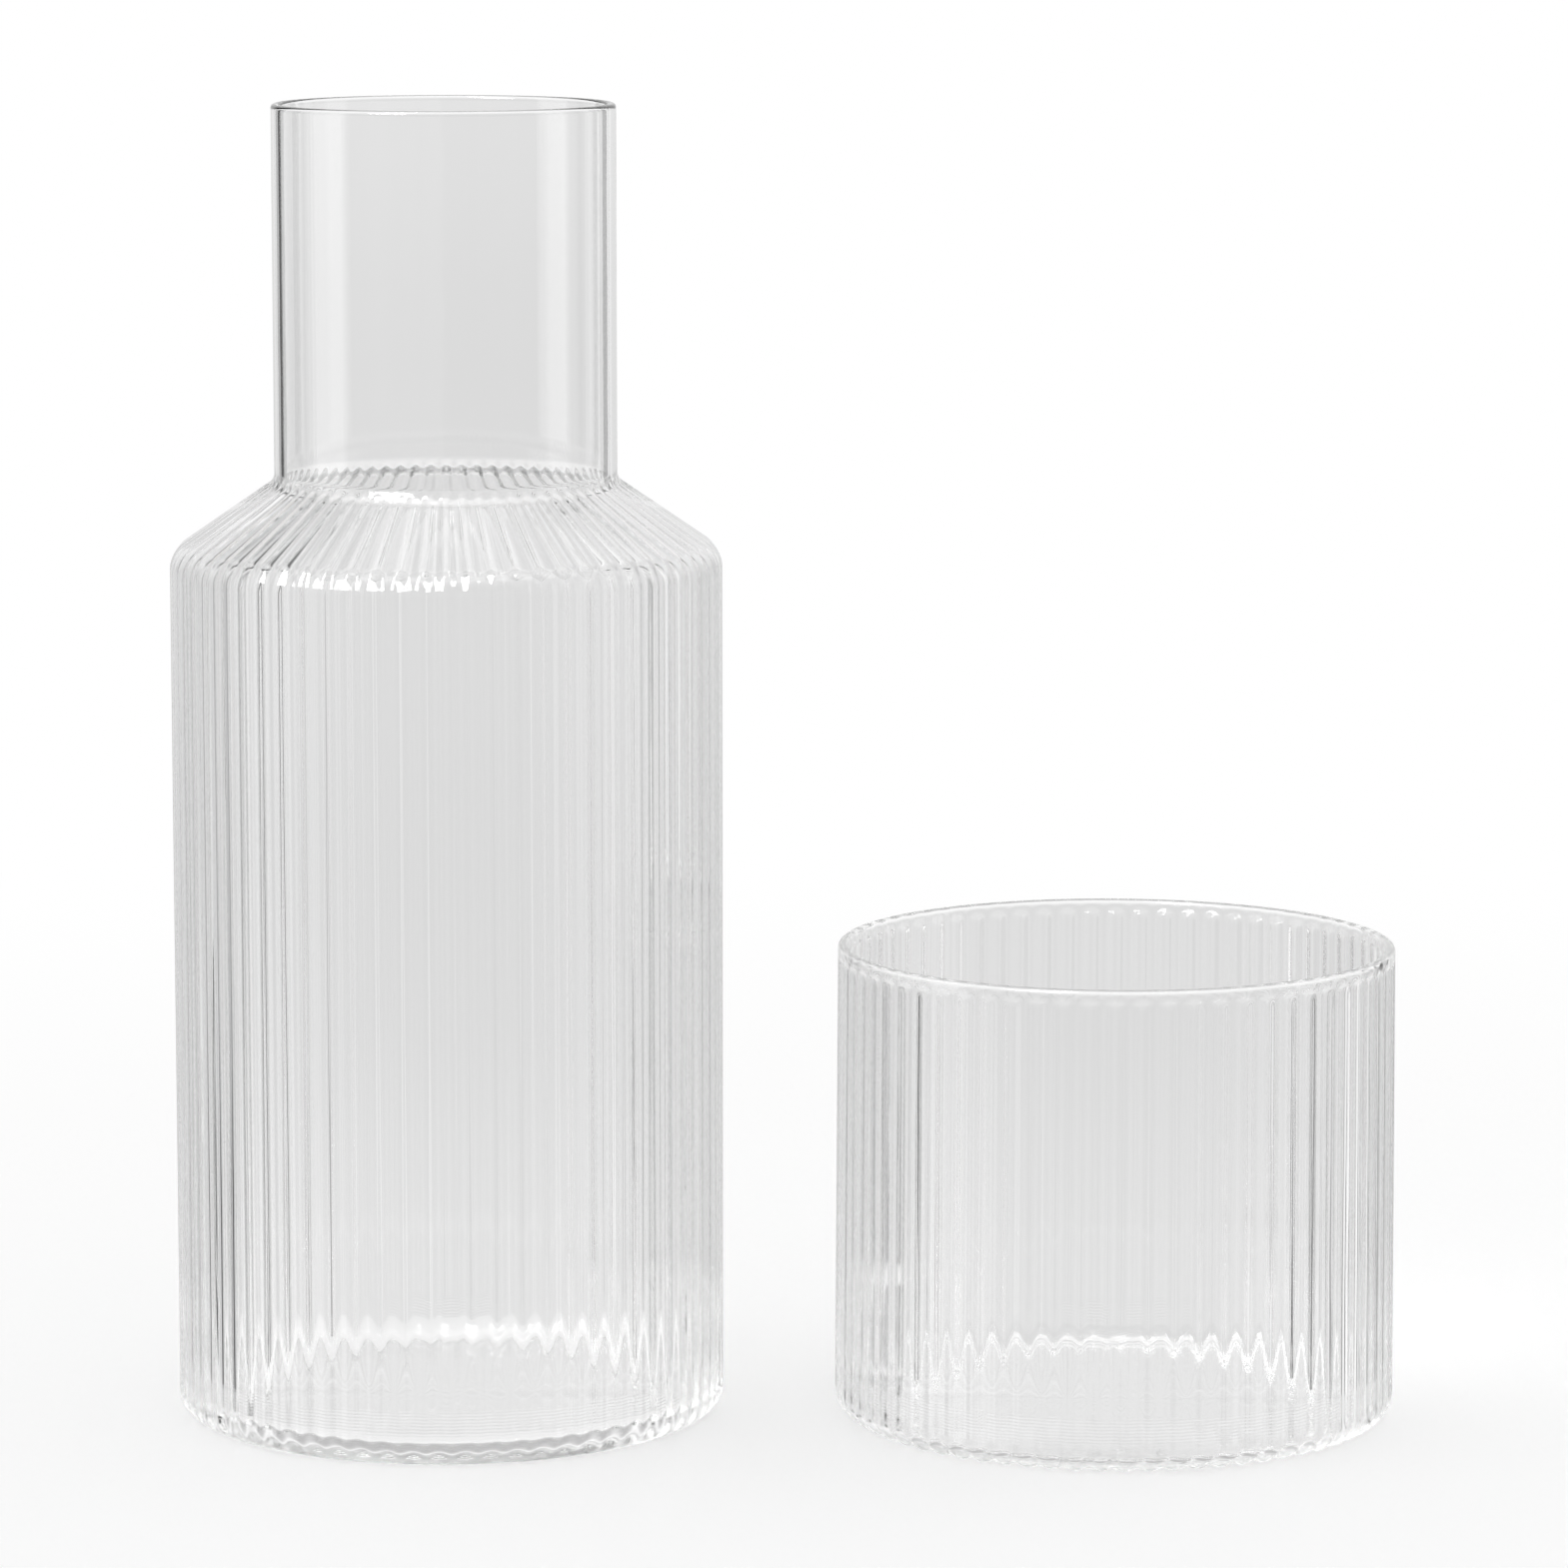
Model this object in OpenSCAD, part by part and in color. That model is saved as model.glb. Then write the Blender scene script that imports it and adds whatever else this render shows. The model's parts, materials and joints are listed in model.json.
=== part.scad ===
// Bedside carafe with a tumbler that turns over to become its lid, both of ribbed blown glass.
// The carafe stands on the origin with its axis along Z. The tumbler stands upright beside it.
// Turned over, the tumbler goes over the neck and its rim sits on the bend of the shoulder.

/* [Carafe] */
// Height from the table to the rim
carafe_h = 220; // [200:1:260]
// Diameter of the body over the crests of its ribs
body_d = 92; // [80:1:110]
// Height at which the wall and the slope of the shoulder would meet
wall_h = 145.8; // [100:0.2:160]
// Rise of the shoulder from there to the foot of the neck
shoulder_rise = 12; // [6:1:24]
// Outer diameter of the neck
neck_d = 57; // [44:1:66]
// Thickness of the neck
neck_wall = 1.5; // [1:0.1:2.5]
// Thickness of the body and shoulder at the crests of the ribs
body_wall = 2; // [1.4:0.1:3]
// Thickness of the base
carafe_base_t = 2; // [1.5:0.5:8]
// Outer radius of the bend from the wall to the shoulder
bend_r = 5.6; // [4:0.2:8]
// Radius of the hollow curve at the foot of the neck
root_r = 2; // [1:0.5:4]
// Outer radius of the heel
carafe_heel_r = 4; // [2:0.5:6]
// Radius of the inside corner between the floor and the wall
carafe_floor_r = 3.5; // [3:0.5:10]

/* [Tumbler] */
// Air left over the rim of the carafe when the tumbler is turned over it
crown_gap = 3; // [0.8:0.1:10]
// How far in from the side of the carafe's body the tumbler's bore lies,
// so that its rim comes to rest on the shoulder
seat_in = 1.2; // [1:0.1:3]
// How much wider the foot of the tumbler is than its rim
tumbler_draft = 0.9; // [0:0.1:3]
// Thickness of its wall at the crests of the ribs
tumbler_wall = 1.8; // [1.4:0.1:2.6]
// Thickness of its base
tumbler_base_t = 2; // [1.5:0.5:8]
// Outer radius of its heel
tumbler_heel_r = 4.4; // [2:0.2:6]
// Radius of the inside corner between its floor and its wall
tumbler_floor_r = 1.5; // [1:0.5:10]
// Smooth band of glass between the top edge and the ribs
rim_band = 2; // [1.5:0.1:6]
// Height over which the top of each rib rounds off
rib_arch = 1.6; // [0.5:0.1:5]
// How far in under the heel the grooves run before they fade out
rib_tuck = 2.5; // [1:0.5:4]

/* [Ribs] */
// Number of ribs around each vessel
ribs = 68; // [48:4:72]
// Depth of the grooves between the ribs
rib_depth = 0.5; // [0.2:0.05:0.8]

/* [Placing] */
// Clear space between the two vessels as they stand
stand_gap = 18.8; // [5:0.1:60]
// How far the tumbler stands in front of the carafe
stand_forward = 3.8; // [0:0.1:30]

/* [Hidden] */
$fn = 128;

glass_tint = [0.86, 0.88, 0.88];
glass_opacity = 0.45;

// Overrun of each cut past the face that it opens
overrun = 1;
// How far the hollow curve at the foot of the neck stands proud of the neck where it ends
root_lap = 0.05;
// Share of a wall's thickness that each side of its fire-polished edge takes as a radius
lip_share = 0.45;
// Where the points of one rib lie across its width, from crest to crest
rib_place_shares = [0.15, 0.38, 0.62, 0.85];
// How deep each of those points lies, of the depth of a groove
rib_depth_shares = [0, 1, 1, 0];
// How far round the carafe's ribs are turned from the tumbler's, of one rib's width
rib_turn_share = 0.5;
// How much of their depth the grooves keep at the foot of the neck, where the ribs crowd together
root_rib_share = 0.5;
// The part of the carafe's heel that is smooth, and the part over which the ribs then rise
heel_shares = [0.35, 0.65];

// Steps in each curve of a ribbed skin, and of an inner wall
heel_steps = 4;
bend_steps = 4;
root_steps = 3;
edge_steps = 3;
inner_steps = 8;

body_r = body_d / 2;
neck_r = neck_d / 2;
neck_bore_r = neck_r - neck_wall;
carafe_lip_r = neck_wall * lip_share;
// Angle of the shoulder above the level, and the way that its surface faces
shoulder_angle = atan2(shoulder_rise, body_r - neck_r);
shoulder_face = 90 - shoulder_angle;

tumbler_bore_r = body_r - seat_in;
tumbler_rim_r = tumbler_bore_r + tumbler_wall;
tumbler_foot_r = tumbler_rim_r + tumbler_draft / 2;
tumbler_lip_r = tumbler_wall * lip_share;
// Height on the bend at which the inner edge of the turned tumbler's rim comes to rest
bend_centre = [body_r - bend_r, shoulder_z(body_r - bend_r, bend_r)];
seat_reach = tumbler_bore_r + tumbler_lip_r - bend_centre.x;
seat_z = bend_centre.y + bend_r * sin(acos(seat_reach / bend_r));
// The tumbler is as deep inside as the neck that it covers, with air above the rim
tumbler_h = carafe_h - seat_z + crown_gap + tumbler_base_t;
tumbler_place = [body_r + stand_gap + tumbler_foot_r, -stand_forward, 0];

// Height of the shoulder's slope at one radius, on a surface set in from the outer one
function shoulder_z(r, inset) = wall_h + ((body_r - r) * sin(shoulder_angle) - inset) / cos(shoulder_angle);

// An outline runs from the base up. Each of its stations is [radius, height, facing, rib share]:
// the facing is the angle of the surface's outward normal above the level, and the rib share is
// how much of their full depth the grooves have there.

// Stations of the carafe's rounded heel, smooth below and ribbed above
function heel_outline() = [
    for (step = [0 : heel_steps])
        let (turn_share = step / heel_steps, facing = 90 * (turn_share - 1))
        [
            body_r - carafe_heel_r + carafe_heel_r * cos(facing),
            carafe_heel_r + carafe_heel_r * sin(facing),
            facing,
            max(0, min(1, (turn_share - heel_shares[0]) / heel_shares[1]))
        ]
];

// Stations of a curve about a centre, bulging outward for a positive radius and hollow for a negative one
function curve_outline(centre, radius, facings, rib_shares, steps) = [
    for (step = [0 : steps])
        let (
            along = step / steps,
            facing = facings[0] + (facings[1] - facings[0]) * along,
            rib_share = rib_shares[0] + (rib_shares[1] - rib_shares[0]) * along
        )
        [centre.x + radius * cos(facing), centre.y + radius * sin(facing), facing, rib_share]
];

// Plain points of a curve about a centre, for a profile that is turned
function curve_points(centre, radius, facings) = [
    for (station = curve_outline(centre, radius, facings, [0, 0], inner_steps)) [station[0], station[1]]
];

// One station as a ring of points, with the grooves pressed in square to the surface
function ring_points(station) = [
    for (rib = [0 : ribs - 1])
        for (k = [0 : len(rib_place_shares) - 1])
            let (
                angle = 360 * (rib + rib_place_shares[k]) / ribs,
                press = rib_depth * station[3] * rib_depth_shares[k],
                r = station[0] - press * cos(station[2]),
                z = station[1] - press * sin(station[2])
            )
            [r * cos(angle), r * sin(angle), z]
];

// The solid inside a ribbed outline, closed by a flat face at each end
module ribbed_solid(outline) {
    around = ribs * len(rib_place_shares);
    last = len(outline) - 1;
    points = [for (station = outline) each ring_points(station)];
    foot_face = [for (j = [0 : around - 1]) j];
    top_face = [for (j = [0 : around - 1]) last * around + around - 1 - j];
    side_faces = [
        for (k = [0 : last - 1])
            for (j = [0 : around - 1])
                let (
                    a = k * around + j,
                    b = k * around + (j + 1) % around,
                    c = b + around,
                    d = a + around
                )
                each [[a, d, b], [b, d, c]]
    ];
    polyhedron(points, concat([foot_face], side_faces, [top_face]));
}

// The ribbed skin of the carafe: its heel, wall, bend and slope, up to the foot of the neck
module carafe_skin() {
    root_centre = [neck_r + root_r + root_lap, shoulder_z(neck_r + root_r, -root_r)];
    bend = curve_outline(bend_centre, bend_r, [0, shoulder_face], [1, 1], bend_steps);
    root = curve_outline(root_centre, -root_r, [shoulder_face, 0], [root_rib_share, 0], root_steps);
    rotate(rib_turn_share * 360 / ribs)
        ribbed_solid(concat(heel_outline(), bend, root));
}

// The neck, plain and round, with its outer edge fire-polished
module neck() {
    edge_centre = [neck_r - carafe_lip_r, carafe_h - carafe_lip_r];
    rotate_extrude()
        polygon(concat(
            [[0, wall_h], [neck_r, wall_h]],
            curve_points(edge_centre, carafe_lip_r, [0, 90]),
            [[0, carafe_h]]
        ));
}

// The space inside the carafe, from its floor to its mouth
module carafe_cavity() {
    wall_r = body_r - body_wall;
    root_inner_r = root_r + neck_wall;
    root_centre_r = neck_bore_r + root_inner_r;
    edge_centre = [neck_bore_r + carafe_lip_r, carafe_h - carafe_lip_r];
    rotate_extrude()
        polygon(concat(
            [[0, carafe_base_t]],
            curve_points([wall_r - carafe_floor_r, carafe_base_t + carafe_floor_r], carafe_floor_r, [-90, 0]),
            curve_points(bend_centre, bend_r - body_wall, [0, shoulder_face]),
            curve_points([root_centre_r, shoulder_z(root_centre_r, body_wall - root_inner_r)],
                -root_inner_r, [shoulder_face, 0]),
            curve_points(edge_centre, -carafe_lip_r, [0, -90]),
            [[edge_centre.x, carafe_h + overrun], [0, carafe_h + overrun]]
        ));
}

module carafe() {
    color(glass_tint, glass_opacity)
        difference() {
            union() {
                carafe_skin();
                neck();
            }
            carafe_cavity();
        }
}

// The ribbed skin of the tumbler: the ribs' ends under the heel, the heel and wall, the rounded tops
// of the ribs and the smooth rim
module tumbler_skin() {
    heel_centre = [tumbler_foot_r - tumbler_heel_r, tumbler_heel_r];
    edge_centre = [tumbler_rim_r - tumbler_lip_r, tumbler_h - tumbler_lip_r];
    arch_z = tumbler_h - rim_band;
    foot = [[heel_centre.x - rib_tuck, 0, -90, 0]];
    heel = curve_outline(heel_centre, tumbler_heel_r, [-90, 0], [1, 1], heel_steps);
    arch = [
        [tumbler_rim_r, arch_z - rib_arch, 0, 1],
        [tumbler_rim_r, arch_z - rib_arch * (1 - sin(45)), 0, cos(45)],
        [tumbler_rim_r, arch_z, 0, 0]
    ];
    edge = curve_outline(edge_centre, tumbler_lip_r, [0, 90], [0, 0], edge_steps);
    ribbed_solid(concat(foot, heel, arch, edge));
}

// The space inside the tumbler, from its floor to its mouth
module tumbler_cavity() {
    floor_wall_r = tumbler_foot_r - tumbler_wall;
    edge_centre = [tumbler_bore_r + tumbler_lip_r, tumbler_h - tumbler_lip_r];
    rotate_extrude()
        polygon(concat(
            [[0, tumbler_base_t]],
            curve_points([floor_wall_r - tumbler_floor_r, tumbler_base_t + tumbler_floor_r],
                tumbler_floor_r, [-90, 0]),
            curve_points(edge_centre, -tumbler_lip_r, [0, -90]),
            [[edge_centre.x, tumbler_h + overrun], [0, tumbler_h + overrun]]
        ));
}

module tumbler() {
    color(glass_tint, glass_opacity)
        translate(tumbler_place)
            difference() {
                tumbler_skin();
                tumbler_cavity();
            }
}

carafe();
tumbler();
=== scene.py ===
import json
import math

import bmesh
import bpy
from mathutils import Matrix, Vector, noise


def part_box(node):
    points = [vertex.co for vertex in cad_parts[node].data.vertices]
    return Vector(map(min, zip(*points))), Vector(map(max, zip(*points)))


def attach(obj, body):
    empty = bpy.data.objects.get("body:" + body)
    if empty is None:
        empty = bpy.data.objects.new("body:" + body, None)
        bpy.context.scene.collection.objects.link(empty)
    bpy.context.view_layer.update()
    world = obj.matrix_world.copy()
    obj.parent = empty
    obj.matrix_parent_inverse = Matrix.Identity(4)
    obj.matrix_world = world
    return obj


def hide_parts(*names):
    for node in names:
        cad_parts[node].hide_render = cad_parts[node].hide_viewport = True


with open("model.json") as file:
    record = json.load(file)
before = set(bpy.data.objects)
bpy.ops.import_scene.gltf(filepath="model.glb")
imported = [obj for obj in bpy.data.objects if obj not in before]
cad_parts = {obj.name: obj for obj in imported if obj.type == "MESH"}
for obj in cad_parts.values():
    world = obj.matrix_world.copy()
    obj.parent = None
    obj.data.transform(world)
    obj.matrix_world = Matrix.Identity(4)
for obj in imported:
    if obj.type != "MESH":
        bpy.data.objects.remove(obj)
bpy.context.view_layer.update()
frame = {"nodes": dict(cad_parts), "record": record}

print("frame loaded:", sorted(frame["nodes"]))

glassBounces = 64     # light runs a long way inside the walls and the bases
diffuseBounces = 3

scene = bpy.context.scene
scene.view_settings.view_transform = "Standard"
scene.cycles.max_bounces = glassBounces
scene.cycles.transmission_bounces = glassBounces
scene.cycles.glossy_bounces = glassBounces
scene.cycles.diffuse_bounces = diffuseBounces


# the camera, fitted to both outlines in the photograph

cameraSizes = {
    "place": (0.056227, -1.156517, 0.275798),  # metres, 1.16 m in front of the carafe
    "tilt": 8.334,        # degrees below the level
    "lens": 160.29,       # millimetres
    "sensor": 36.0,
    "nearest": 0.05,      # metres, between which it sees things
    "farthest": 20,
}


def makeCamera(sizes):
    data = bpy.data.cameras.new("photoCamera")
    data.lens = sizes["lens"]
    data.sensor_width = sizes["sensor"]
    data.clip_start = sizes["nearest"]
    data.clip_end = sizes["farthest"]
    camera = bpy.data.objects.new("photoCamera", data)
    scene.collection.objects.link(camera)
    camera.location = sizes["place"]
    camera.rotation_euler = (math.radians(90 - sizes["tilt"]), 0, 0)
    scene.camera = camera


makeCamera(cameraSizes)
print("camera made")


# shared helpers for node trees

def addNode(tree, kind, **settings):
    node = tree.nodes.new(kind)
    for name, value in settings.items():
        setattr(node, name, value)
    return node


def doMath(tree, operation, *values):
    node = addNode(tree, "ShaderNodeMath", operation=operation)
    for socket, value in zip(node.inputs, values):
        if isinstance(value, bpy.types.NodeSocket):
            tree.links.new(value, socket)
        else:
            socket.default_value = value
    return node.outputs[0]


def throughGlass(tree, path):
    return doMath(tree, "MAXIMUM", path.outputs["Is Glossy Ray"], path.outputs["Is Transmission Ray"])


def softBand(tree, value, low, high, edge):
    # 1 between low and high, and 0 outside them
    rise = addNode(tree, "ShaderNodeMapRange", interpolation_type="SMOOTHSTEP")
    fall = addNode(tree, "ShaderNodeMapRange", interpolation_type="SMOOTHSTEP")
    for node, first, last in ((rise, low - edge, low + edge), (fall, high + edge, high - edge)):
        tree.links.new(value, node.inputs["Value"])
        node.inputs["From Min"].default_value = first
        node.inputs["From Max"].default_value = last
    return doMath(tree, "MULTIPLY", rise.outputs[0], fall.outputs[0])


def levelRamp(tree, value, stops, reach, kind):
    # stops are (degrees, level), from -reach to reach degrees
    share = addNode(tree, "ShaderNodeMapRange")
    share.inputs["From Min"].default_value = -reach
    share.inputs["From Max"].default_value = reach
    tree.links.new(value, share.inputs["Value"])
    ramp = addNode(tree, "ShaderNodeValToRGB")
    ramp.color_ramp.interpolation = kind
    elements = ramp.color_ramp.elements
    for k, (degrees, level) in enumerate(stops):
        place = (degrees + reach) / (2 * reach)
        if k < 2:
            element = elements[k]  # a new ramp has two
            element.position = place
        else:
            element = elements.new(place)
        element.color = (level, level, level, 1)
    tree.links.new(share.outputs[0], ramp.inputs["Fac"])
    return ramp.outputs["Color"]


def mixLevels(tree, factor, first, second):
    mix = addNode(tree, "ShaderNodeMix", data_type="RGBA")
    tree.links.new(factor, mix.inputs["Factor"])
    for socket, value in ((mix.inputs[6], first), (mix.inputs[7], second)):  # the two colours
        if isinstance(value, bpy.types.NodeSocket):
            tree.links.new(value, socket)
        else:
            socket.default_value = (value, value, value, 1)
    return mix.outputs[2]  # and their mix


def mixShaders(tree, factor, first, second):
    mix = addNode(tree, "ShaderNodeMixShader")
    tree.links.new(factor, mix.inputs[0])
    tree.links.new(first.outputs[0], mix.inputs[1])
    tree.links.new(second.outputs[0], mix.inputs[2])
    return mix


def addBump(tree, height, strength, distance, under):
    bump = addNode(tree, "ShaderNodeBump")
    bump.inputs["Strength"].default_value = strength
    bump.inputs["Distance"].default_value = distance
    tree.links.new(height, bump.inputs["Height"])
    if under is not None:
        tree.links.new(under, bump.inputs["Normal"])
    return bump.outputs[0]


# the studio that the glass shows: a paper sweep behind, dark flags and bright cards at its sides,
# a light overhead and a window high on the left

studioLevels = {
    "plain": 0.95,            # light that falls on the floor from all round
    "sweep": 0.765,
    "sides": [                # sweep, flags and cards, each from so many degrees right of +Y on
        (-180, 0.62), (-111.5, 1.55), (-84, 0.66), (-72, 0.36), (-62, 0.66), (-52, 0.80), (-48, 1.05),
        (-44, 0.00), (-38, 0.04), (-32.5, 0.56), (-28, 0.86), (-22, 0.74), (-14, 0.78), (-3, 0.76),
        (5, 0.78), (12, 0.73), (20, 0.79), (28, 1.00), (32, 0.22), (40, 0.05), (44, 1.45), (48, 0.95),
        (52, 0.42), (57, 1.00), (64, 0.88), (68, 0.55), (73, 0.80), (84, 1.25), (103, 0.62),
    ],
    "contrast": [             # how far they stand out at each height, most of all just above the table
        (-90, 0), (-16, 0), (-14.2, 2.4), (-12.2, 2.3), (-10.5, 1.2), (-8, 1), (48, 1), (52, 0),
    ],
    "fall": [                 # how bright all of it is at each height, up to the light overhead
        (-90, 0.70), (-60, 0.67), (-50, 0.76), (-38, 0.98), (-31, 1.40), (-24, 1.24), (-19, 1.19),
        (-15.5, 1.16), (-14.2, 1.04), (-12.8, 1.08), (-11.7, 1.05), (-10.6, 0.99), (-8.8, 0.97),
        (-6.8, 0.99), (-4.6, 0.98), (-3.0, 1.04), (5, 1.04), (22, 1.2), (32, 1.0), (66, 1.0),
        (72, 2.8), (90, 2.8),
    ],
    "cameraSides": (-111.5, 103),  # outside these two, at the camera's end of the room,
    "cameraLeast": 0.60,           # it is never darker than this
    "cameraEdge": 0.5,
    "windowSides": (-155, -127),   # towards the camera's left
    "windowHeights": (26, 68),
    "windowEdge": 1.5,             # degrees to each side of its edges, over which its light fades
    "windowLevel": 18.0,
}


def makeStudio(levels):
    world = bpy.data.worlds.new("studio")
    scene.world = world
    world.use_nodes = True
    tree = world.node_tree
    tree.nodes.clear()
    way = addNode(tree, "ShaderNodeTexCoord")
    split = addNode(tree, "ShaderNodeSeparateXYZ")
    tree.links.new(way.outputs["Generated"], split.inputs[0])
    x, y, z = split.outputs
    turn = doMath(tree, "DEGREES", doMath(tree, "ARCTAN2", x, y))  # 0 behind the object, more to the right
    height = doMath(tree, "DEGREES", doMath(tree, "ARCSINE", z))
    sides = levelRamp(tree, turn, levels["sides"], 180, "CONSTANT")
    contrast = levelRamp(tree, height, levels["contrast"], 90, "LINEAR")
    fall = levelRamp(tree, height, levels["fall"], 90, "LINEAR")
    # contrast makes the flags darker, and the cards no brighter than they are
    apart = doMath(tree, "MULTIPLY", doMath(tree, "SUBTRACT", sides, levels["sweep"]), contrast)
    brightest = doMath(tree, "MAXIMUM", sides, levels["sweep"])
    seen = doMath(tree, "MINIMUM", doMath(tree, "ADD", apart, levels["sweep"]), brightest)
    ahead = softBand(tree, turn, *levels["cameraSides"], levels["cameraEdge"])
    least = doMath(tree, "MULTIPLY", doMath(tree, "SUBTRACT", 1.0, ahead), levels["cameraLeast"])
    seen = doMath(tree, "MAXIMUM", seen, least)
    seen = doMath(tree, "MULTIPLY", seen, fall)
    across = softBand(tree, turn, *levels["windowSides"], levels["windowEdge"])
    upward = softBand(tree, height, *levels["windowHeights"], levels["windowEdge"])
    seen = mixLevels(tree, doMath(tree, "MULTIPLY", across, upward), seen, levels["windowLevel"])
    path = addNode(tree, "ShaderNodeLightPath")
    level = mixLevels(tree, throughGlass(tree, path), levels["plain"], seen)
    level = mixLevels(tree, path.outputs["Is Camera Ray"], level, 1.0)  # the background itself is white
    background = addNode(tree, "ShaderNodeBackground")
    tree.links.new(level, background.inputs["Color"])
    output = addNode(tree, "ShaderNodeOutputWorld")
    tree.links.new(background.outputs[0], output.inputs["Surface"])


floorSizes = {
    "half": 6.0,          # metres from the middle to each side
    "drop": 0.00005,      # how far it lies below the feet, so the faces don't clash
    "middle": (0.056, 0, 0),    # between the vessels
    "plainFrom": 0.25,    # the shaded paper fades into plain white between these distances from there
    "plainTo": 0.60,
    "tone": 0.98,
    "glow": 0.65,         # share of plain white in the paper near the object, so its shadow stays faint
}


def makeFloor(sizes):
    mesh = bpy.data.meshes.new("floor")
    bm = bmesh.new()
    bmesh.ops.create_grid(bm, x_segments=1, y_segments=1, size=sizes["half"])
    bmesh.ops.translate(bm, verts=bm.verts, vec=(0, 0, -sizes["drop"]))
    bm.to_mesh(mesh)
    bm.free()
    floor = bpy.data.objects.new("floor", mesh)
    scene.collection.objects.link(floor)
    material = bpy.data.materials.new("floorPaper")
    material.use_nodes = True
    tree = material.node_tree
    tree.nodes.clear()
    paper = addNode(tree, "ShaderNodeBsdfDiffuse")
    paper.inputs["Color"].default_value = (sizes["tone"], sizes["tone"], sizes["tone"], 1)
    white = addNode(tree, "ShaderNodeEmission")
    place = addNode(tree, "ShaderNodeTexCoord")
    offset = addNode(tree, "ShaderNodeVectorMath", operation="DISTANCE")
    offset.inputs[1].default_value = sizes["middle"]
    tree.links.new(place.outputs["Object"], offset.inputs[0])
    fade = addNode(tree, "ShaderNodeMapRange", interpolation_type="SMOOTHSTEP")
    tree.links.new(offset.outputs["Value"], fade.inputs["Value"])
    fade.inputs["From Min"].default_value = sizes["plainFrom"]
    fade.inputs["From Max"].default_value = sizes["plainTo"]
    fade.inputs["To Min"].default_value = sizes["glow"]
    shaded = mixShaders(tree, fade.outputs[0], paper, white)
    # the glass shows the studio's own sweep in place of the paper
    path = addNode(tree, "ShaderNodeLightPath")
    clear = addNode(tree, "ShaderNodeBsdfTransparent")
    both = mixShaders(tree, throughGlass(tree, path), shaded, clear)
    output = addNode(tree, "ShaderNodeOutputMaterial")
    tree.links.new(both.outputs[0], output.inputs["Surface"])
    mesh.materials.append(material)


makeStudio(studioLevels)
makeFloor(floorSizes)
print("studio made")


# the glass both vessels are blown in

glassSizes = {
    "ior": 1.5,
    "tint": (0.99, 0.99, 0.99, 1),
    "absorbColor": (0.94, 0.942, 0.94, 1),
    "absorbDensity": 25.0,    # per metre
    "waveScale": 14.0,        # slow waves of the blown surface, per metre
    "waveBump": 0.035,
    "waveStretch": 0.35,      # waves and ripples are this much slower up the wall, so they run long
    "rippleScale": 90.0,      # finer ripples on them
    "rippleBump": 0.02,
    "rippleStretch": 0.5,
    "detail": 2,              # how finely both are broken up
    "bumpDistance": 0.001,    # metres
    "foldHeights": (0.0052, 0.0092),   # metres, where the cooling glass left fine folds above the foot
    "foldEdge": 0.0008,       # over which they rise and die out
    "foldPitch": 0.00055,
    "foldDepth": 0.000008,
}


def makeGlass(sizes):
    material = bpy.data.materials.new("clearGlass")
    material.use_nodes = True
    tree = material.node_tree
    tree.nodes.clear()
    glass = addNode(tree, "ShaderNodeBsdfPrincipled")
    glass.inputs["Base Color"].default_value = sizes["tint"]
    glass.inputs["Transmission Weight"].default_value = 1
    glass.inputs["Roughness"].default_value = 0
    glass.inputs["IOR"].default_value = sizes["ior"]
    place = addNode(tree, "ShaderNodeTexCoord")
    normal = None
    for scale, strength, stretch in (
        (sizes["waveScale"], sizes["waveBump"], sizes["waveStretch"]),
        (sizes["rippleScale"], sizes["rippleBump"], sizes["rippleStretch"]),
    ):
        drawn = addNode(tree, "ShaderNodeMapping")
        drawn.inputs["Scale"].default_value = (1, 1, stretch)
        tree.links.new(place.outputs["Object"], drawn.inputs["Vector"])
        waves = addNode(tree, "ShaderNodeTexNoise")
        waves.inputs["Scale"].default_value = scale
        waves.inputs["Detail"].default_value = sizes["detail"]
        tree.links.new(drawn.outputs[0], waves.inputs["Vector"])
        normal = addBump(tree, waves.outputs[0], strength, sizes["bumpDistance"], normal)
    split = addNode(tree, "ShaderNodeSeparateXYZ")
    tree.links.new(place.outputs["Object"], split.inputs[0])
    height = split.outputs["Z"]
    folds = doMath(tree, "SINE", doMath(tree, "MULTIPLY", height, math.tau / sizes["foldPitch"]))
    folds = doMath(tree, "MULTIPLY", folds, softBand(tree, height, *sizes["foldHeights"], sizes["foldEdge"]))
    normal = addBump(tree, folds, 1, sizes["foldDepth"] / 2, normal)
    tree.links.new(normal, glass.inputs["Normal"])
    body = addNode(tree, "ShaderNodeVolumeAbsorption")
    body.inputs["Color"].default_value = sizes["absorbColor"]
    body.inputs["Density"].default_value = sizes["absorbDensity"]
    output = addNode(tree, "ShaderNodeOutputMaterial")
    tree.links.new(glass.outputs[0], output.inputs["Surface"])
    tree.links.new(body.outputs[0], output.inputs["Volume"])
    return material


clearGlass = makeGlass(glassSizes)
print("glass mixed")


# outlines, ribs and waves, which both vessels share

outlineSizes = {
    "support": 0.0003,    # a ring this close to each end of a straight stretch keeps its shading straight
    "longEnough": 4,      # times that distance: shorter stretches get no such rings
    "bendSteps": 10,      # steps round the heel and the bend of the shoulder,
    "cornerSteps": 8,     # round every other corner,
    "lipSteps": 5,        # and round each half of the lip
    "slack": 1.0001,      # a point is on a straight stretch if the way through it is at most so much longer
    "weld": 1e-7,         # points closer than this are one,
    "weldRound": 1e-6,    # or than this where two ribs meet
}

ribSizes = {
    "count": 68,
    "depth": 0.0005,      # metres, from crest to groove
    "steps": 12,          # steps across each rib
}

waveSizes = {
    "across": 95.0,       # waves of the inside, per metre across the vessel
    "along": 14.0,        # and per metre up the wall, so they run long
    "depth": 0.00012,
}


def smoothShare(value, start, end):
    t = min(1.0, max(0.0, (value - start) / (end - start)))
    return t * t * (3 - 2 * t)


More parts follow.
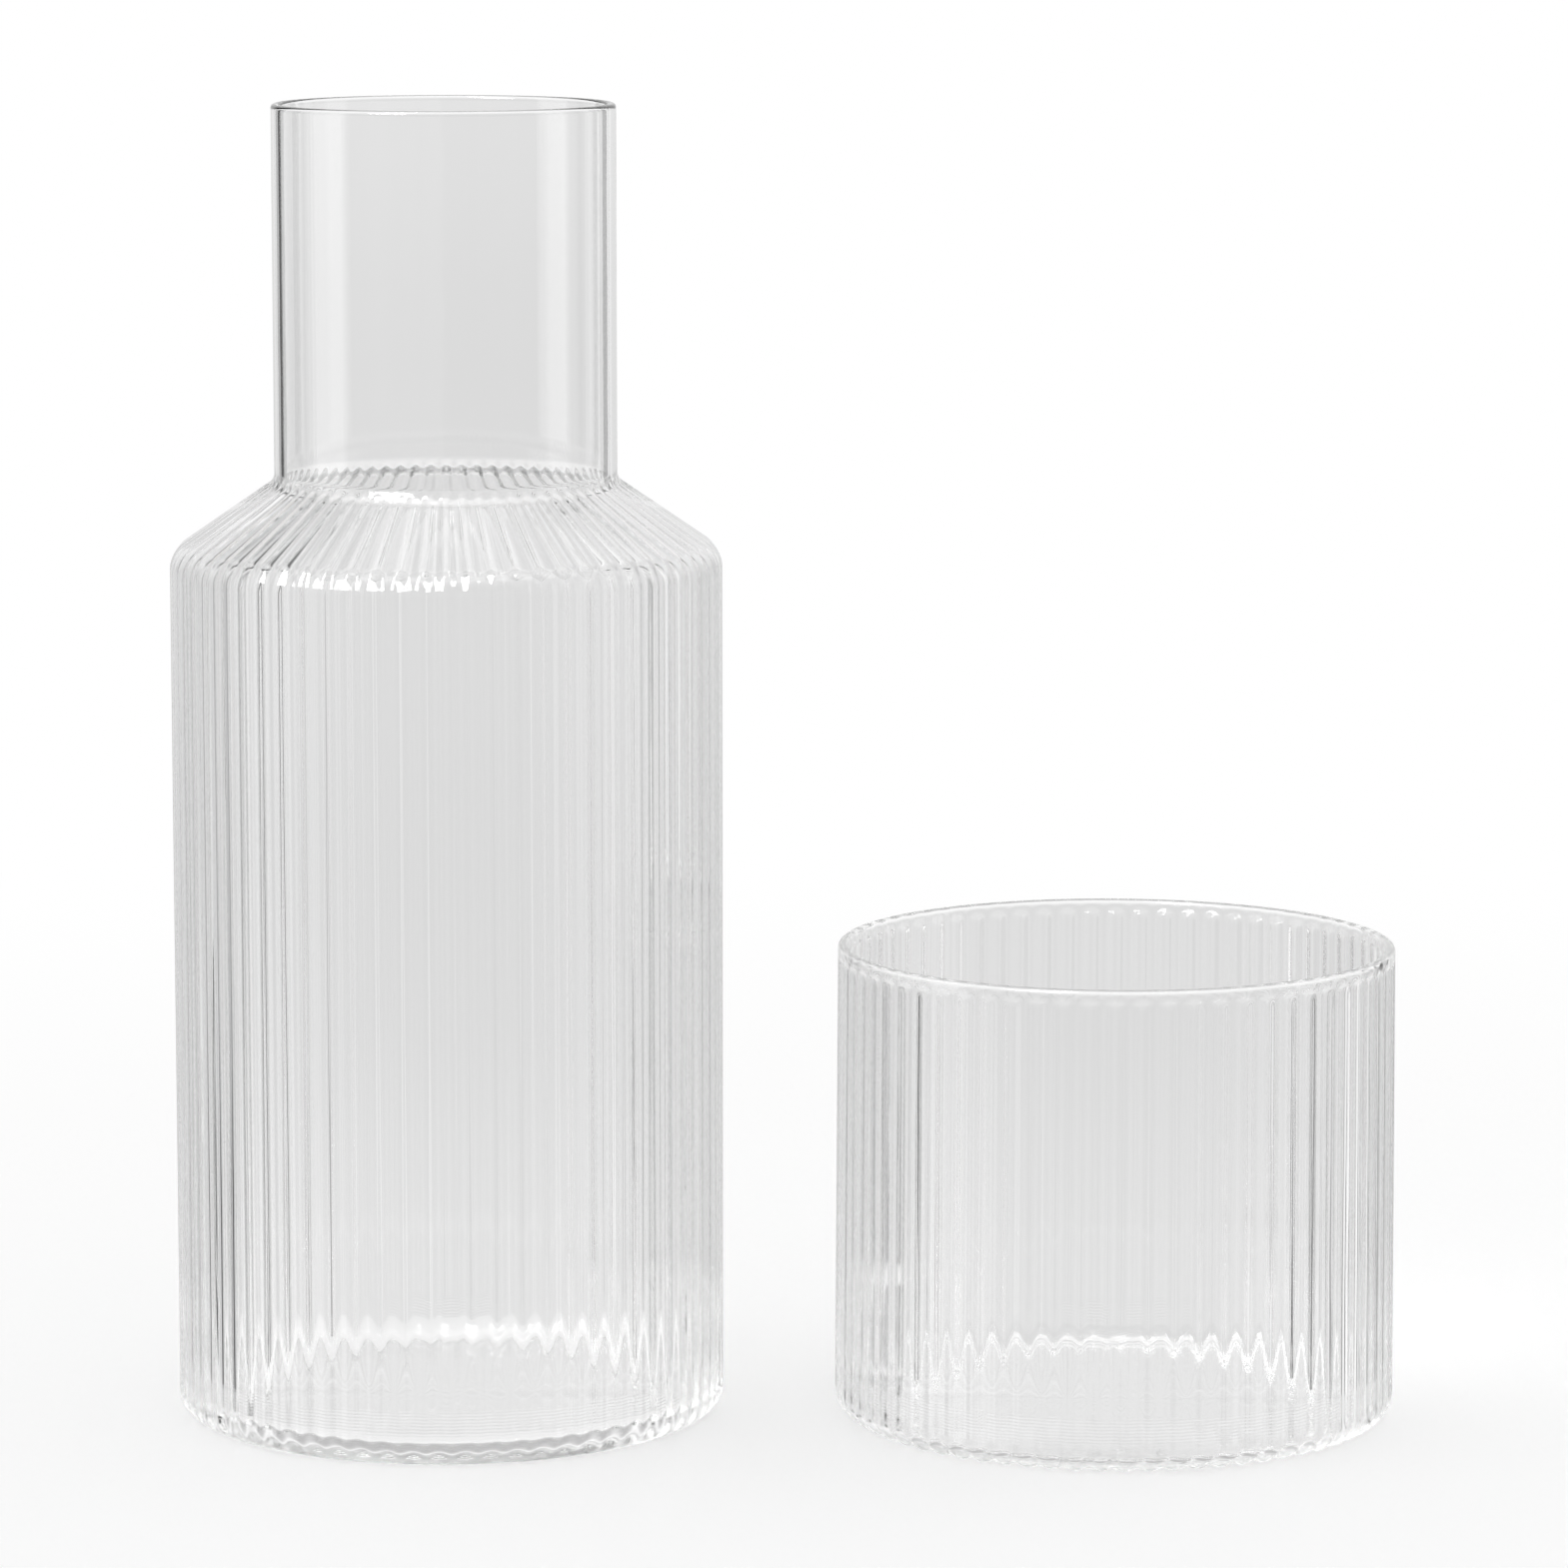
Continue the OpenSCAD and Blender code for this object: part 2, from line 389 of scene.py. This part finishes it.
def drawOutline(bm, corners):
    # corners are (radius, height, rounding, steps), drawn from the first to the last
    before = set(bm.edges)
    verts = [bm.verts.new((corner[0], 0, corner[1])) for corner in corners]
    for first, second in zip(verts, verts[1:]):
        bm.edges.new((first, second))
    for vert, corner in zip(verts, corners):
        if corner[2]:
            ways = [(edge.other_vert(vert).co - vert.co) for edge in vert.link_edges]
            turn = math.pi - ways[0].angle(ways[1])
            bmesh.ops.bevel(
                bm, geom=[vert], offset=corner[2] * math.tan(turn / 2), offset_type="OFFSET",
                segments=corner[3], profile=0.5, affect="VERTICES", material=-1)
    support = outlineSizes["support"]
    for edge in [edge for edge in bm.edges if edge not in before]:
        length = edge.calc_length()
        if length > support * outlineSizes["longEnough"]:
            low, high = edge.verts
            bmesh.utils.edge_split(edge, low, support / length)
            bmesh.utils.edge_split(edge, high, support / edge.calc_length())
    return [edge for edge in bm.edges if edge not in before]


def cutStretch(bm, edges, first, last, cuts):
    # rings along the straight stretch of the outline between two (radius, height) places
    low = Vector((first[0], 0, first[1]))
    high = Vector((last[0], 0, last[1]))
    span = (high - low).length
    farthest = span * outlineSizes["slack"]
    stretch = [
        edge for edge in edges
        if edge.calc_length() > span / 2
        and all((vert.co - low).length + (vert.co - high).length < farthest for vert in edge.verts)
    ]
    bmesh.ops.subdivide_edges(bm, edges=stretch, cuts=cuts)


def shareWaves(bm, waveLayer, radius, height, s):
    # the inside is wavy beyond this radius and below this height, most of all low down
    for vert in bm.verts:
        if vert[waveLayer] >= 0 and vert.co.x > radius and vert.co.z < height:
            vert[waveLayer] = s["waveFoot"] - s["waveDrop"] * smoothShare(vert.co.z, *s["waveHeights"])


def turnVessel(bm, ribLayer, waveLayer, s):
    # the outline is turned through one rib, and that rib is then repeated all the way round
    bmesh.ops.remove_doubles(bm, verts=bm.verts, dist=outlineSizes["weld"])
    pitch = math.tau / ribSizes["count"]
    around = {"cent": (0, 0, 0), "axis": (0, 0, 1)}
    bmesh.ops.spin(
        bm, geom=bm.verts[:] + bm.edges[:], angle=pitch, steps=ribSizes["steps"],
        use_merge=False, use_duplicate=False, **around)
    bmesh.ops.remove_doubles(bm, verts=bm.verts, dist=outlineSizes["weld"])
    bmesh.ops.spin(
        bm, geom=bm.verts[:] + bm.edges[:] + bm.faces[:], angle=math.tau, steps=ribSizes["count"],
        use_merge=False, use_duplicate=True, **around)
    bmesh.ops.remove_doubles(bm, verts=bm.verts, dist=outlineSizes["weldRound"])
    bmesh.ops.recalc_face_normals(bm, faces=bm.faces)
    bm.normal_update()
    # the grooves and the waves are pressed in square to the surface
    for vert in bm.verts:
        x, y, z = vert.co
        phase = math.atan2(y, x) / pitch + s["ribTurn"]
        press = ribSizes["depth"] * vert[ribLayer] * (1 - math.cos(math.tau * phase)) / 2
        wave = 0.0
        if vert[waveLayer] > 0:
            spot = Vector((x * waveSizes["across"], y * waveSizes["across"], z * waveSizes["along"]))
            wave = waveSizes["depth"] * vert[waveLayer] * noise.noise(spot)
        vert.co -= vert.normal * (press + wave)
    bmesh.ops.translate(bm, verts=bm.verts, vec=s["place"])


def makePiece(name, bm, body, node):
    mesh = bpy.data.meshes.new(name)
    bm.to_mesh(mesh)
    bm.free()
    mesh.polygons.foreach_set("use_smooth", [True] * len(mesh.polygons))
    mesh.materials.append(clearGlass)
    piece = bpy.data.objects.new(name, mesh)
    scene.collection.objects.link(piece)
    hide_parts(node)
    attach(piece, body)
    return piece


# the carafe

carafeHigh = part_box("carafe")[1]
neckMount = next(m for m in frame["record"]["mounts"] if m["name"] == "neck_bore")

carafeSizes = {
    "place": (0, 0, 0),
    "bodyRadius": 0.046,       # metres, over the crests of the ribs
    "height": carafeHigh.z,
    "neckBore": neckMount["dims"]["r_mm"] / 1000,
    "neckWall": 0.0015,
    "wallHeight": 0.1458,      # where the wall would meet the slope of the shoulder
    "shoulderRise": 0.012,
    "bodyWall": 0.002,
    "base": 0.002,
    "bend": 0.0056,            # outside rounding from the wall to the slope,
    "root": 0.002,             # from the slope to the neck,
    "heel": 0.004,             # and from the wall to the foot
    "floorCorner": 0.0035,
    "lipShare": 0.45,          # rounding of each side of the lip, as a share of the neck's wall
    "heelRibs": (0.0006, 0.0042),    # heights between which the ribs rise out of the heel
    "slopeFrom": 0.9,                # share of the wall's height above which the slope's shares hold
    "rootShare": 0.5,                # what is left of the ribs' depth at the foot of the neck,
    "rootFrom": 0.95,                # reached this share of the way up the slope
    "ribEnd": (0.94, 0.999),         # shares of the way between which they die out
    "ribTurn": 0.5,                  # a groove faces the front, where the tumbler has a crest
    "wallRings": 23,                 # rings up the inside of the wall, which its waves need
    "waveFrom": 0.9,                 # share of the neck's bore beyond which the inside is wavy
    "waveFoot": 1.2,                 # share of the waves' depth at the foot,
    "waveDrop": 0.9,                 # how much of it is lost higher up,
    "waveHeights": (0.03, 0.12),     # and the heights between which it goes
}


def carafeRibShare(radius, height, s):
    if height < s["wallHeight"] * s["slopeFrom"]:
        return smoothShare(height, *s["heelRibs"])
    neckRadius = s["neckBore"] + s["neckWall"]
    along = (s["bodyRadius"] - radius) / (s["bodyRadius"] - neckRadius)
    share = 1 - (1 - s["rootShare"]) * min(1, along / s["rootFrom"])
    return share * (1 - smoothShare(along, *s["ribEnd"]))


def makeCarafe(s):
    neckRadius = s["neckBore"] + s["neckWall"]
    rootHeight = s["wallHeight"] + s["shoulderRise"]
    slope = math.atan2(s["shoulderRise"], s["bodyRadius"] - neckRadius)
    innerWall = s["bodyRadius"] - s["bodyWall"]

    def slopeHeight(radius, inset):
        return s["wallHeight"] + ((s["bodyRadius"] - radius) * math.sin(slope) - inset) / math.cos(slope)

    lip = s["neckWall"] * s["lipShare"]
    middle = s["neckBore"] + s["neckWall"] / 2
    wallTop = slopeHeight(innerWall, s["bodyWall"])
    bendSteps = outlineSizes["bendSteps"]
    cornerSteps = outlineSizes["cornerSteps"]
    lipSteps = outlineSizes["lipSteps"]
    bm = bmesh.new()
    ribLayer = bm.verts.layers.float.new("ribShare")
    waveLayer = bm.verts.layers.float.new("waveShare")
    drawOutline(bm, [
        (0, 0, 0, 0),
        (s["bodyRadius"], 0, s["heel"], bendSteps),
        (s["bodyRadius"], s["wallHeight"], s["bend"], bendSteps),
        (neckRadius, rootHeight, s["root"], cornerSteps),
        (neckRadius, s["height"], lip, lipSteps),
        (middle, s["height"], 0, 0),
    ])
    ribTop = rootHeight + 2 * s["root"]  # safely past the hollow at the foot of the neck
    for vert in bm.verts:
        vert[waveLayer] = -1  # no waves on the outside
        if vert.co.x > neckRadius - outlineSizes["weldRound"] and vert.co.z < ribTop:
            vert[ribLayer] = carafeRibShare(vert.co.x, vert.co.z, s)
    inside = drawOutline(bm, [
        (middle, s["height"], 0, 0),
        (s["neckBore"], s["height"], lip, lipSteps),
        (s["neckBore"], slopeHeight(s["neckBore"], s["bodyWall"]), s["root"] + s["neckWall"], cornerSteps),
        (innerWall, wallTop, s["bend"] - s["bodyWall"], cornerSteps),
        (innerWall, s["base"], s["floorCorner"], cornerSteps),
        (0, s["base"], 0, 0),
    ])
    cutStretch(bm, inside, (innerWall, s["base"]), (innerWall, wallTop), s["wallRings"])
    shareWaves(bm, waveLayer, s["neckBore"] * s["waveFrom"], rootHeight, s)
    turnVessel(bm, ribLayer, waveLayer, s)
    return makePiece("glassCarafe", bm, "carafe", "carafe")


carafe = makeCarafe(carafeSizes)
print("carafe blown:", len(carafe.data.vertices), "points")


# the tumbler

tumblerLow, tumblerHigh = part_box("tumbler")

tumblerSizes = {
    "place": ((tumblerLow.x + tumblerHigh.x) / 2, (tumblerLow.y + tumblerHigh.y) / 2, 0),
    "height": tumblerHigh.z,
    "footRadius": (tumblerHigh.x - tumblerLow.x) / 2,
    "draft": 0.00045,         # how much the wall draws in from foot to rim
    "wall": 0.0018,
    "base": 0.002,
    "heel": 0.0044,
    "floorCorner": 0.0015,
    "lipShare": 0.45,         # rounding of each side of the rim, as a share of the wall
    "rimBand": 0.002,         # smooth glass between the edge and the ribs
    "ribArch": 0.0016,        # height over which each groove rounds off at its top
    "archRings": 5,
    "ribTuck": 0.0025,        # how far in under the heel the grooves run
    "tuckRings": 4,
    "ribTurn": 0,             # a crest faces the front
    "wallRings": 15,          # rings up the inside of the wall, which its waves need
    "waveFrom": 0.8,          # share of the rim's radius beyond which the inside is wavy,
    "waveTo": 0.95,           # and share of the height below which it is
    "waveFoot": 1.2,          # share of the waves' depth at the foot,
    "waveDrop": 0.7,          # how much of it is lost higher up,
    "waveHeights": (0.02, 0.06),    # and the heights between which it goes
}


def tumblerRibShare(radius, height, s):
    top = s["height"] - s["rimBand"]
    arch = min(1.0, max(0.0, (top - height) / s["ribArch"]))
    heelStart = s["footRadius"] - s["heel"]
    return smoothShare(radius, heelStart - s["ribTuck"], heelStart) * math.sqrt(1 - (1 - arch) ** 2)


def makeTumbler(s):
    rimRadius = s["footRadius"] - s["draft"]
    innerFoot = s["footRadius"] - s["wall"]
    innerRim = rimRadius - s["wall"]
    lip = s["wall"] * s["lipShare"]
    middle = rimRadius - s["wall"] / 2
    archTop = s["height"] - s["rimBand"]
    archLow = archTop - s["ribArch"]
    tuckEnd = s["footRadius"] - s["heel"] - s["ribTuck"]
    lipSteps = outlineSizes["lipSteps"]
    bm = bmesh.new()
    ribLayer = bm.verts.layers.float.new("ribShare")
    waveLayer = bm.verts.layers.float.new("waveShare")
    outside = drawOutline(bm, [
        (0, 0, 0, 0),
        (tuckEnd, 0, 0, 0),
        (s["footRadius"], 0, s["heel"], outlineSizes["bendSteps"]),
        (rimRadius, archLow, 0, 0),
        (rimRadius, archTop, 0, 0),
        (rimRadius, s["height"], lip, lipSteps),
        (middle, s["height"], 0, 0),
    ])
    cutStretch(bm, outside, (tuckEnd, 0), (tuckEnd + s["ribTuck"], 0), s["tuckRings"])
    cutStretch(bm, outside, (rimRadius, archLow), (rimRadius, archTop), s["archRings"])
    for vert in bm.verts:
        vert[waveLayer] = -1
        if vert.co.x > tuckEnd and vert.co.z < archTop + outlineSizes["weldRound"]:
            vert[ribLayer] = tumblerRibShare(vert.co.x, vert.co.z, s)
    inside = drawOutline(bm, [
        (middle, s["height"], 0, 0),
        (innerRim, s["height"], lip, lipSteps),
        (innerFoot, s["base"], s["floorCorner"], outlineSizes["cornerSteps"]),
        (0, s["base"], 0, 0),
    ])
    cutStretch(bm, inside, (innerFoot, s["base"]), (innerRim, s["height"]), s["wallRings"])
    shareWaves(bm, waveLayer, rimRadius * s["waveFrom"], s["height"] * s["waveTo"], s)
    turnVessel(bm, ribLayer, waveLayer, s)
    return makePiece("glassTumbler", bm, "tumbler", "tumbler")


tumbler = makeTumbler(tumblerSizes)
print("tumbler blown:", len(tumbler.data.vertices), "points")
